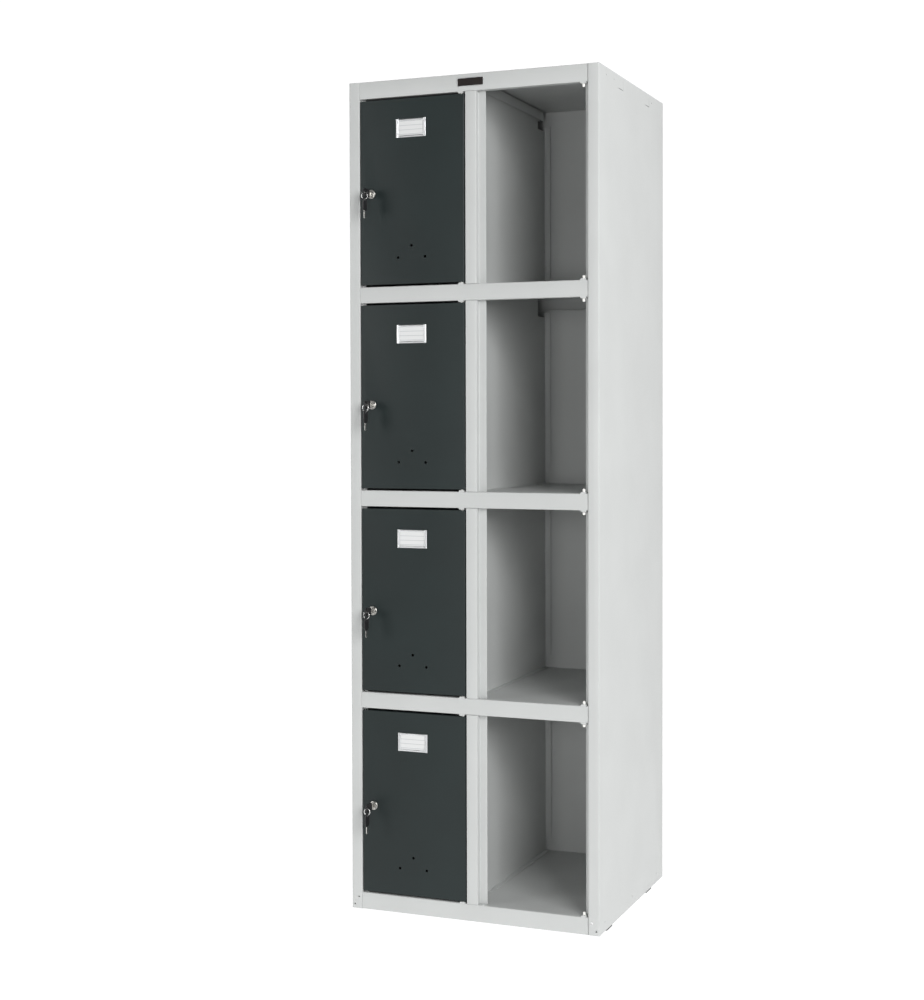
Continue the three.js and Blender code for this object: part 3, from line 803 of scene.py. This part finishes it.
@dataclass
class CamLock:
    """The cam lock of a door: housing, plug, nut and cam with its screw."""

    number: int
    rim_mm: float = 10.1
    thread_mm: float = 9.0
    thread_pitch_mm: float = 1.2
    bore_mm: float = 6.6
    plug_mm: float = 6.5
    plug_rays: int = 48
    slot_mm: tuple[float, float, float] = (1.35, 4.1, 6.0)    # half width, half height and depth
    nut_reach_mm: float = 12.0                                # from the middle to a flat
    nut_mm: float = 3.4
    washer_mm: tuple[float, float] = (4.6, 0.5)               # radius and thickness
    screw_mm: tuple[float, float] = (3.5, 2.4)                # middle to a flat, and height
    sheet_mm: float = 1.0

    def __post_init__(self) -> None:
        """Finds the axis and the face of the door."""
        self.node = f"lock_barrel_{self.number}"
        self.low, self.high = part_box(self.node)
        self.centre = (self.low + self.high) / 2
        self.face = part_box(f"door_{self.number}")[0].y
        self.body = f"door_{self.number}_leaf"
        self.core = f"lock_{self.number}_core"

    def build_housing(self) -> None:
        """Turns the housing: a rounded rim, a dished face and a threaded neck."""
        front, rim = self.low.y, self.rim_mm
        seat_y = self.face - 0.3 * MM
        housing = Piece(f"lock_housing_{self.number}", NICKEL, self.body, (self.node,), sharp_deg=55)
        profile = [
            (self.bore_mm * MM, front + 0.3 * MM), (6.9 * MM, front + 0.1 * MM), (7.9 * MM, front),
            ((rim - 1.1) * MM, front + 0.25 * MM), ((rim - 0.4) * MM, front + 0.8 * MM),
            (rim * MM, front + 1.6 * MM), (rim * MM, seat_y), (self.thread_mm * MM, seat_y),
        ]
        y = self.face + (self.sheet_mm + 0.4) * MM
        while y < self.high.y - self.thread_pitch_mm * MM:
            half = self.thread_pitch_mm * MM / 2
            profile += [(self.thread_mm * MM, y), ((self.thread_mm - 0.45) * MM, y + half)]
            y += self.thread_pitch_mm * MM
        profile += [((self.thread_mm - 0.5) * MM, self.high.y), (self.bore_mm * MM, self.high.y)]
        turned(housing.mesh, profile, self.centre, 56)
        housing.finished()

    def build_plug(self) -> None:
        """Turns the plug, with the key's slot through its face."""
        node = f"lock_plug_{self.number}"
        low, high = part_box(node)
        centre = (low + high) / 2
        plug = Piece(f"lock_core_{self.number}", NICKEL, self.core, (node,), sharp_deg=40)
        radius = self.plug_mm * MM
        slot_half, slot_high, depth = (size * MM for size in self.slot_mm)

        def place(u: float, v: float, y: float) -> Vector:
            return Vector((centre.x + u, y, centre.z + v))

        sections = []
        for step in range(self.plug_rays):
            angle = 2 * math.pi * step / self.plug_rays
            cos, sin = math.cos(angle), math.sin(angle)
            scale = min(slot_half / max(abs(cos), 1e-9), slot_high / max(abs(sin), 1e-9))
            inner = (scale * cos, scale * sin)
            rim = [(radius, high.y), (radius, low.y + 0.45 * MM), (radius - 0.3 * MM, low.y + 0.15 * MM),
                   (radius - 0.8 * MM, low.y)]
            sections.append(
                [place(r * cos, r * sin, y) for r, y in rim]
                + [place(*inner, low.y), place(*inner, low.y + depth), place(0, 0, low.y + depth),
                   place(0, 0, high.y)])
        loft(plug.mesh, sections, closed=True)
        plug.finished()

    def build_nut(self) -> None:
        """Makes the hexagon nut that clamps the housing from inside the door."""
        flats = self.nut_reach_mm * MM
        start = self.face + (self.sheet_mm + 0.15) * MM
        middle = start + self.nut_mm * MM / 2
        nut = Piece(f"lock_nut_{self.number}", ZINC, self.body, sharp_deg=30)

        def place(u: float, v: float, h: float) -> Vector:
            return Vector((self.centre.x + u, middle + h, self.centre.z + v))

        def reach(angle: float) -> float:
            part = angle % (math.pi / 3) - math.pi / 6
            return flats / math.cos(part)

        half = self.nut_mm * MM / 2
        steps = [(0.0, half - 0.3 * MM), (0.12, half), (0.82, half), (1.0, half - 0.45 * MM)]
        pierced(nut.mesh, place, (self.thread_mm + 0.1) * MM, reach, steps, rays=60)
        nut.finished()

    def build_cam_screw(self) -> None:
        """Makes the hexagon screw that holds the cam on the plug."""
        low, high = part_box(f"lock_cam_{self.number}")
        screw = Piece(f"cam_screw_{self.number}", ZINC, self.core, sharp_deg=30)
        across, height = (size * MM for size in self.screw_mm)
        washer_radius, washer_thickness = (size * MM for size in self.washer_mm)
        start, shoulder = high.y, high.y + washer_thickness
        washer = [(0.0, start), (washer_radius, start), (washer_radius, shoulder), (0.0, shoulder)]
        turned(screw.mesh, washer, self.centre, 32)
        corner = across / math.cos(math.pi / 6)
        outline = [
            (self.centre.x + corner * math.cos(k * math.pi / 3),
             self.centre.z + corner * math.sin(k * math.pi / 3)) for k in range(6)
        ]
        drawn_out(screw.mesh, outline, Axis.Y, shoulder, start + height)
        screw.finished()

    def dress(self) -> None:
        """Gives the cam its zinc."""
        dress(f"lock_cam_{self.number}", ZINC, bevel_mm=0.2)


@dataclass(frozen=True)
class KeyForm:
    """What differs between the key in the lock and the spare key, in millimetres."""

    length: float
    width: float
    corner: float
    eye: float                    # from the end of the head to the middle of the hole
    hole: float
    blade_start: float


KEY_FORMS = {
    KeyPose.IN_LOCK: KeyForm(length=31.0, width=18.0, corner=5.0, eye=6.8, hole=3.5, blade_start=30.0),
    KeyPose.HANGING: KeyForm(length=28.5, width=20.4, corner=6.5, eye=4.7, hole=3.2, blade_start=27.5),
}


@dataclass
class Key:
    """A key: a moulded head with a hole for the ring, on a milled blade."""

    number: int
    pose: KeyPose
    cuts_mm: tuple[tuple[float, float], ...] = (
        (2.0, 0.0), (3.4, 1.3), (4.6, 1.3), (6.0, 0.3), (7.4, 1.9), (8.6, 1.9), (10.0, 0.8), (11.4, 1.5),
        (12.6, 1.5), (14.0, 0.2), (15.2, 1.2), (16.2, 1.2),
    )
    blade_mm: float = 1.9
    blade_half_width_mm: float = 3.6
    head_mm: float = 1.3
    field_drop_mm: float = 0.35   # from the head's raised rim to its field

    def __post_init__(self) -> None:
        """Finds where the plain key is and how its head lies."""
        self.form = KEY_FORMS[self.pose]
        self.node = f"key_{self.number}" if self.pose is KeyPose.IN_LOCK else f"spare_key_{self.number}"
        self.body = f"lock_{self.number}_core" if self.pose is KeyPose.IN_LOCK else f"spare_{self.number}"
        self.low, self.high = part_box(self.node)
        self.middle_x = (self.low.x + self.high.x) / 2

    def at(self, along: float, across: float, x: float) -> Vector:
        """Turns a place on the key into a point.

        Args:
            along: From the end of the head towards the blade's tip, in millimetres.
            across: From the key's middle line, in millimetres.
            x: From its middle plane, in millimetres.

        Returns:
            The point in the row frame.
        """
        if self.pose is KeyPose.IN_LOCK:
            z = (self.low.z + self.high.z) / 2
            return Vector((self.middle_x + x * MM, self.low.y + along * MM, z + across * MM))
        y = (self.low.y + self.high.y) / 2
        return Vector((self.middle_x + x * MM, y + across * MM, self.high.z - along * MM))

    def build_head(self) -> None:
        """Moulds the head, with a raised rim round a lower field."""
        form = self.form
        head = Piece(f"{self.node}_head", KEY_HEAD, self.body, (self.node,), sharp_deg=30)
        reach = rounded_reach(form.length / 2, form.width / 2, form.corner,
                              (form.eye - form.length / 2, 0.0))
        rim, field_height = self.head_mm, self.head_mm - self.field_drop_mm
        steps = [(0.0, rim - 0.25), (0.04, rim), (0.12, rim), (0.2, field_height), (0.78, field_height),
                 (0.85, rim), (0.96, rim), (1.0, rim - 0.35)]
        pierced(head.mesh, lambda u, v, h: self.at(form.eye + u, v, h), form.hole, reach, steps, rays=64)
        head.finished()

    def build_blade(self) -> None:
        """Mills the blade, with its cuts along one edge and a shoulder at the head."""
        start = self.form.blade_start
        end = (self.high.y - self.low.y if self.pose is KeyPose.IN_LOCK else self.high.z - self.low.z) / MM
        blade = Piece(f"{self.node}_blade", KEY_BLADE, self.body, sharp_deg=30, bevel_mm=0.12)
        half_width = self.blade_half_width_mm
        cut_edge = [(start + 1.0 + s, half_width - d) for s, d in self.cuts_mm if start + 1.0 + s < end - 1.2]
        outline = [(start, -half_width), (start, half_width), *cut_edge, (end - 1.0, half_width - 1.6),
                   (end, half_width - 3.0), (end, -half_width + 2.4), (end - 1.6, -half_width)]
        sections = [[self.at(s, w, x) for s, w in outline] for x in (-self.blade_mm / 2, self.blade_mm / 2)]
        loft(blade.mesh, sections, closed=False)
        blade.finished()


@dataclass
class SplitRing:
    """The split ring that joins the two keys: two turns of flat wire."""

    number: int
    wire_mm: tuple[float, float] = (1.8, 0.56)
    roundness: float = 0.6        # of the wire's section: one is an ellipse, less is squarer
    facets: int = 12
    turns: float = 2.0
    steps: int = 88
    crossing: tuple[float, float] = (0.42, 0.16)    # where the wire steps over: start and length
    spacing: float = 1.05         # of the two turns, in wire heights

    def build(self) -> None:
        """Winds the wire in place of the plain ring."""
        node = f"key_ring_{self.number}"
        low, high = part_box(node)
        centre = (low + high) / 2
        half_width, half_height = (size * MM / 2 for size in self.wire_mm)
        radius = (high.x - low.x) / 2 - half_width
        ring = Piece(f"split_ring_{self.number}", SPRING_WIRE, f"ring_{self.number}", (node,), sharp_deg=60)
        outline = [(math.copysign(abs(math.cos(a)) ** self.roundness, math.cos(a)) * half_width,
                    math.copysign(abs(math.sin(a)) ** self.roundness, math.sin(a)) * half_height)
                   for a in (2 * math.pi * k / self.facets for k in range(self.facets))]
        crossing_start, crossing_length = self.crossing
        sections = []
        for step in range(self.steps + 1):
            share = step / self.steps
            turn = 2 * math.pi * self.turns * share
            outward = Vector((math.cos(turn), 0, math.sin(turn)))
            ramp = min(max((share - crossing_start) / crossing_length, 0.0), 1.0)
            offset = self.spacing * half_height * (2 * ramp - 1)
            middle = centre + outward * radius + Vector((0, offset, 0))
            sections.append([
                middle + outward * across + Vector((0, along, 0)) for across, along in outline
            ])
        loft(ring.mesh, sections, closed=False)
        ring.finished()


@dataclass
class Door:
    """One door with its label, its lock and its keys."""

    number: int

    def build(self) -> None:
        """Builds every piece of the door."""
        dress(f"door_{self.number}", DARK_COAT)
        label = Label(self.number)
        label.build_holder()
        label.build_card()
        lock = CamLock(self.number)
        lock.build_housing()
        lock.build_plug()
        lock.build_nut()
        lock.build_cam_screw()
        lock.dress()
        for pose in KeyPose:
            key = Key(self.number, pose)
            key.build_head()
            key.build_blade()
        SplitRing(self.number).build()


# ---------------------------------------------------------------- studio


@dataclass(frozen=True)
class Softbox:
    """A large square lamp that faces the middle of the cabinet."""

    name: str
    azimuth_deg: float            # from straight in front, towards the right
    height_deg: float
    distance: float
    size: float
    watts: float

    def hang(self, target: Vector) -> None:
        """Hangs the lamp.

        Args:
            target: The point it faces.
        """
        azimuth, height = math.radians(self.azimuth_deg), math.radians(self.height_deg)
        away = Vector((math.sin(azimuth) * math.cos(height), -math.cos(azimuth) * math.cos(height),
                       math.sin(height)))
        lamp = bpy.data.lights.new(self.name, "AREA")
        lamp.shape, lamp.size, lamp.energy = "SQUARE", self.size, self.watts
        holder = placed(self.name, lamp)
        holder.location = target + away * self.distance
        holder.rotation_mode = "QUATERNION"
        holder.rotation_quaternion = (-away).to_track_quat("-Z", "Y")


@dataclass
class Studio:
    """White surroundings that light less from the front, softboxes, a lit white floor and the camera."""

    softboxes: tuple[Softbox, ...] = (
        Softbox("right_softbox", 46, 18, 4.2, 2.0, 140.0),
        Softbox("front_softbox", 5, 3, 4.2, 0.9, 30.0),
        Softbox("left_softbox", -45, 10, 4.2, 1.6, 40.0),
    )
    rear_strength: float = 1.05
    front_strength: float = 0.08
    blend: float = 0.35           # how far from the side the two strengths run into each other
    aim_height: float = 0.9
    floor_glow: float = 0.97
    camera_mm: tuple[float, float, float] = (1336.5, -3572.9, 1093.8)
    yaw_deg: float = 22.091
    pitch_deg: float = -1.443
    roll_deg: float = -0.142
    lens_mm: float = 60.365
    shift: tuple[float, float] = (0.0, -0.04)
    clip: tuple[float, float] = (0.1, 50.0)
    floor_radius: float = 2.6
    floor_sides: int = 96

    def light(self) -> None:
        """Hangs the softboxes. The surroundings look white, but give less light in front than behind."""
        world = bpy.data.worlds.new("white_studio")
        world.use_nodes = True
        tree = world.node_tree
        tree.nodes.clear()
        direction = add_node(tree, "ShaderNodeTexCoord").outputs["Generated"]
        behind = add_node(tree, "ShaderNodeSeparateXYZ", links={"Vector": direction}).outputs["Y"]
        strength = add_node(tree, "ShaderNodeMapRange", {
            "interpolation_type": "SMOOTHSTEP",
            "From Min": -self.blend,
            "From Max": self.blend,
            "To Min": self.front_strength,
            "To Max": self.rear_strength,
        }, {"Value": behind}).outputs["Result"]
        seen = add_node(tree, "ShaderNodeLightPath").outputs["Is Camera Ray"]
        shown = add_node(tree, "ShaderNodeMix", {3: self.rear_strength}, {0: seen, 2: strength}).outputs[0]
        background = add_node(tree, "ShaderNodeBackground", {"Color": linear_colour("#FFFFFF")},
                              {"Strength": shown})
        add_node(tree, "ShaderNodeOutputWorld", links={0: background.outputs[0]})
        bpy.context.scene.world = world
        for softbox in self.softboxes:
            softbox.hang(Vector((0, 0, self.aim_height)))
        bpy.context.scene.view_settings.view_transform = "Standard"

    def build_floor(self) -> None:
        """Lays a round floor of white acrylic, lit from below, under the cabinet."""
        finish = MouldedPlastic("backlit_opal_acrylic", "", "#6A6A6A", "#666666", 0.9, grain_mm=4.0,
                                ior=1.2)
        material = finish.material()
        shader = next(n for n in material.node_tree.nodes if n.type == "BSDF_PRINCIPLED")
        shader.inputs["Emission Color"].default_value = linear_colour("#FFFFFF")
        shader.inputs["Emission Strength"].default_value = self.floor_glow
        disc = bmesh.new()
        bmesh.ops.create_circle(disc, cap_ends=True, segments=self.floor_sides, radius=self.floor_radius)
        data = bpy.data.meshes.new("studio_floor")
        disc.to_mesh(data)
        disc.free()
        data.materials.append(material)
        placed("studio_floor", data)

    def set_camera(self) -> None:
        """Stands the camera to the right of the cabinet, a little above its middle."""
        yaw, pitch, roll = (math.radians(a) for a in (self.yaw_deg, self.pitch_deg, self.roll_deg))
        ahead = Vector((-math.sin(yaw) * math.cos(pitch), math.cos(yaw) * math.cos(pitch), math.sin(pitch)))
        right = Vector((math.cos(yaw), math.sin(yaw), 0))
        up = right.cross(ahead)
        tilted_right = right * math.cos(roll) + up * math.sin(roll)
        tilted_up = up * math.cos(roll) - right * math.sin(roll)
        data = bpy.data.cameras.new("camera")
        data.lens = self.lens_mm
        data.shift_x, data.shift_y = self.shift
        data.clip_start, data.clip_end = self.clip
        camera = placed("camera", data)
        turn = Matrix((tilted_right, tilted_up, -ahead)).transposed().to_4x4()
        camera.matrix_world = Matrix.Translation(Vector(self.camera_mm) * MM) @ turn
        bpy.context.scene.camera = camera


def main() -> None:
    """Builds the cabinet and its studio."""
    logging.basicConfig(level=logging.INFO, format="%(name)s: %(message)s")
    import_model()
    studio = Studio()
    studio.set_camera()
    studio.light()
    studio.build_floor()
    carcass = Carcass()
    carcass.dress()
    carcass.build_rivets()
    carcass.build_badge()
    for number in range(1, TIERS + 1):
        Door(number).build()


if __name__ == "__main__":
    main()
